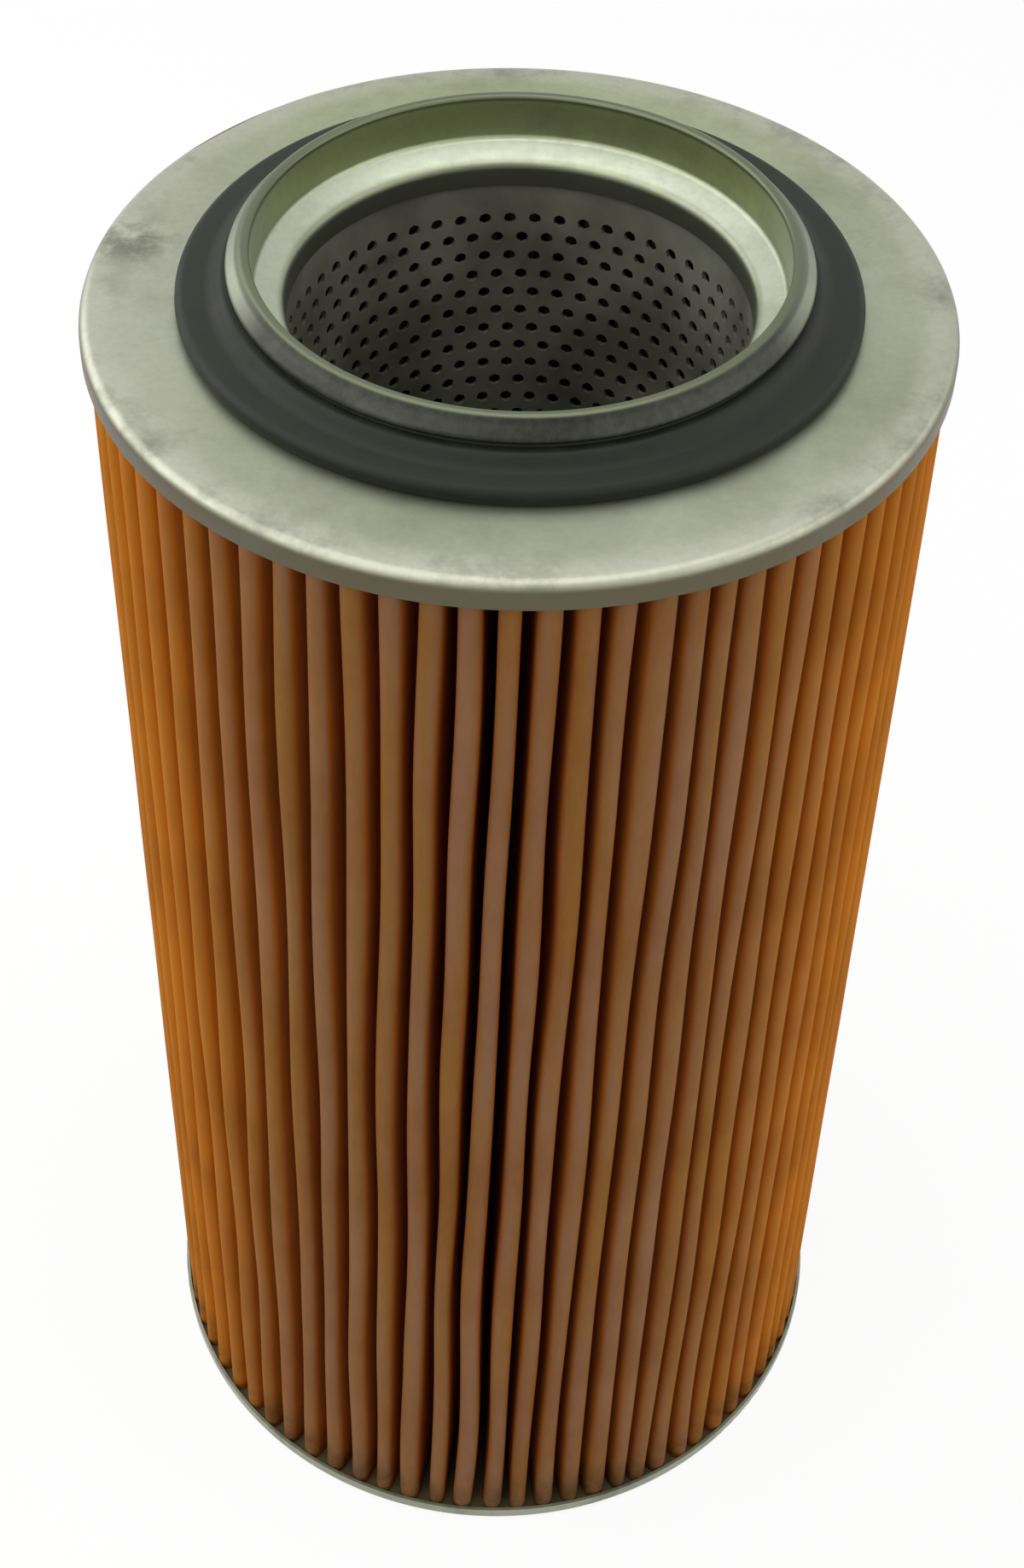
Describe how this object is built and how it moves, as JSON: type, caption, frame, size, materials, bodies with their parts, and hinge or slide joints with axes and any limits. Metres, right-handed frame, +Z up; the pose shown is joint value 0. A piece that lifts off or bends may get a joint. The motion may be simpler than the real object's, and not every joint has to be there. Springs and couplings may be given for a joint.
{
  "type": "pleated filter element",
  "caption": "Cylindrical pleated filter element: folded paper round a perforated tube, between pressed metal end caps, with a rubber seal ring round the open neck.",
  "frame": {"origin": "centre of the face that the element stands on, on the element's axis", "axes": "+Z up along the element's axis towards the open neck; +X is the direction in which the folds lie closest together; the lap of the centre tube is at -Y and the paper's seam clip at +Y"},
  "size_m": [0.11, 0.11, 0.2137],
  "materials": {
    "plated_steel": "dull zinc plating with a faint olive tint",
    "seal_rubber": "black nitrile rubber, satin",
    "filter_paper": "resin-treated filter paper, amber brown",
    "tube_steel": "dull tinned steel strip",
    "bond": "dark cured adhesive",
    "clip_steel": "thin tinned steel"
  },
  "bodies": {
    "root": {"top_end_cap": "plated_steel", "bottom_end_cap": "plated_steel", "seal_ring": "seal_rubber", "centre_tube": "tube_steel", "pleated_paper": "filter_paper", "top_bond": "bond", "bottom_bond": "bond", "seam_clip": "clip_steel"}
  },
  "joints": []
}
